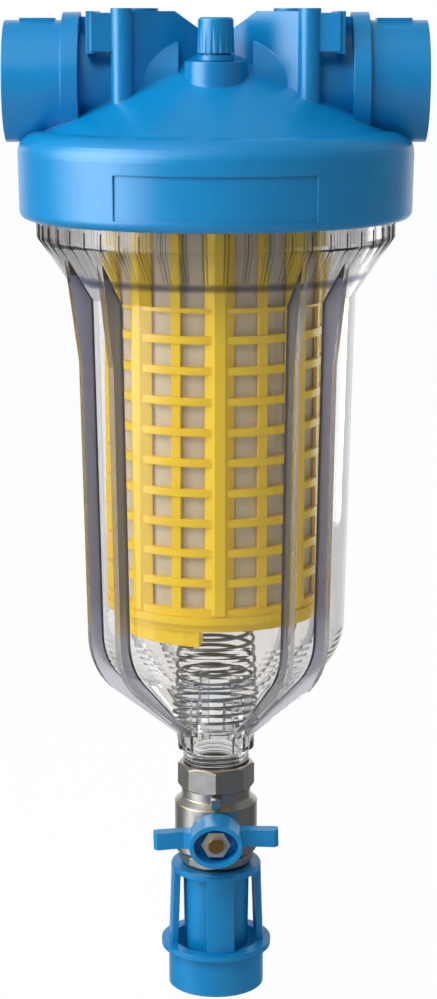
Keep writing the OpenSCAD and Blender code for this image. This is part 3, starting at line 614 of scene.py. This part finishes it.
studio = {
    "floorSize": 80.0, "floorDrop": 0.026, "floorGlow": 0.97,
    "floorColour": (0.9, 0.9, 0.9), "floorRoughness": 0.8,
    "fill": 0.23, "fillColour": (0.97, 0.98, 1.0), "dim": 0.13, "backdrop": (0.72, 0.92),
    "ceiling": 0.14, "ceilingFrom": (0.25, 0.6),
    "glow": 5.2, "glowFrom": (-0.88, -0.33, 0.30), "glowWide": 44.0, "glowCore": 6.0,
}
lampAim = (0, 0, -0.2)
lampSet = [
    {"name": "leftSoftbox", "place": (-1.15, -0.42, 0.3), "size": (0.75, 1.4), "power": 15.0},
    {"name": "frontFill", "place": (-0.55, -1.25, 1.05), "size": (0.7, 0.7), "power": 12.5},
    {"name": "rightRim", "place": (0.85, 0.7, 0.0), "size": (0.6, 1.2), "power": 6.0},
    {"name": "topSoftbox", "place": (-0.25, -0.35, 1.1), "size": (0.8, 0.8), "power": 5.5},
]
photoView = {
    "distance": 1.156, "side": 0.0013, "height": -0.002, "pitch": 11.9, "focal": 2312.0, "rows": 999.0,
    "sensor": 24.0,
}


def makeFloor():
    deselectAll()
    floorHeight = cadBox[0][2] - studio["floorDrop"]
    bpy.ops.mesh.primitive_plane_add(size=studio["floorSize"], location=(0, 0, floorHeight))
    floor = bpy.context.object
    floor.name = "studioFloor"
    material, tree, shader = blankMaterial("paleFloor")
    shader["Base Color"].default_value = (*studio["floorColour"], 1)
    shader["Roughness"].default_value = studio["floorRoughness"]
    path = put(tree, "ShaderNodeLightPath", (0, 500)).outputs
    seen = calc(tree, (200, 500), "MAXIMUM", path["Is Camera Ray"], path["Is Transmission Ray"])
    share = calc(tree, (400, 500), "MULTIPLY", seen, studio["floorGlow"])
    glow = put(tree, "ShaderNodeEmission", (500, 300), Strength=1.0)
    lit = tree.nodes["Principled BSDF"].outputs["BSDF"]
    shown = mixShader(tree, (750, 200), share, lit, glow.outputs["Emission"])
    wire(tree, shown, tree.nodes["Material Output"].inputs["Surface"])
    floor.visible_glossy = False  # glossy sides show the room instead
    floor.data.materials.append(material)


def makeWorld():
    # even fill for the light; glossy and clear sides see a white backdrop,
    # a dim room and a soft glow at the left
    world = bpy.data.worlds.new("studioSurround")
    bpy.context.scene.world = world
    world.use_nodes = True
    tree = world.node_tree
    fill = tree.nodes["Background"]
    fill.inputs["Color"].default_value = (*studio["fillColour"], 1)
    fill.inputs["Strength"].default_value = studio["fill"]
    coord = put(tree, "ShaderNodeTexCoord", (-1100, -200)).outputs["Generated"]
    split = put(tree, "ShaderNodeSeparateXYZ", (-900, -200))
    wire(tree, coord, split.inputs[0])
    behind = spread(tree, (-650, -150), split.outputs["Y"], *studio["backdrop"])
    above = spread(tree, (-650, -450), split.outputs["Z"], *studio["ceilingFrom"], 0, studio["ceiling"])
    bright = calc(tree, (-400, -250), "MAXIMUM", behind, above)
    level = spread(tree, (-200, -250), bright, 0, 1, studio["dim"], 1)
    toward = vectorCalc(tree, (-650, -750), "DOT_PRODUCT", coord, Vector(studio["glowFrom"]).normalized())
    wide = math.cos(math.radians(studio["glowWide"]))
    core = math.cos(math.radians(studio["glowCore"]))
    glow = spread(tree, (-400, -650), toward, wide, core, 0, studio["glow"], smooth=True)
    room = put(tree, "ShaderNodeBackground", (0, -200), Color=(1, 1, 1, 1))
    wire(tree, calc(tree, (-100, -450), "ADD", level, glow), room.inputs["Strength"])
    path = put(tree, "ShaderNodeLightPath", (-600, 300)).outputs
    seen = calc(tree, (-300, 300), "MAXIMUM", path["Is Glossy Ray"], path["Is Transmission Ray"])
    mixed = mixShader(tree, (300, 0), seen, fill.outputs["Background"], room.outputs["Background"])
    white = put(tree, "ShaderNodeBackground", (300, -250), Color=(1, 1, 1, 1), Strength=1.0)
    shown = mixShader(tree, (600, 0), path["Is Camera Ray"], mixed, white.outputs["Background"])
    tree.nodes["World Output"].location = (850, 0)
    wire(tree, shown, tree.nodes["World Output"].inputs["Surface"])


def makeLamps():
    aim = Vector(lampAim)
    for look in lampSet:
        deselectAll()
        place = Vector(look["place"])
        bpy.ops.object.light_add(type="AREA", location=place)
        lamp = bpy.context.object
        lamp.name = look["name"]
        lamp.data.shape = "RECTANGLE"
        lamp.data.size, lamp.data.size_y = look["size"]
        lamp.data.energy = look["power"]
        lamp.rotation_euler = (aim - place).to_track_quat("-Z", "Y").to_euler()
        lamp.visible_glossy = False  # the glow in the surroundings shows instead


def makeCamera():
    deselectAll()
    bpy.ops.object.camera_add(location=(photoView["side"], -photoView["distance"], photoView["height"]),
                              rotation=(math.radians(90 - photoView["pitch"]), 0, 0))
    camera = bpy.context.object
    camera.name = "photoCamera"
    camera.data.sensor_fit = "VERTICAL"
    camera.data.sensor_height = photoView["sensor"]
    camera.data.lens = photoView["sensor"] * photoView["focal"] / photoView["rows"]
    bpy.context.scene.camera = camera


makeFloor()
makeWorld()
makeLamps()
makeCamera()
bpy.context.scene.view_settings.view_transform = "Standard"
print("studio set")
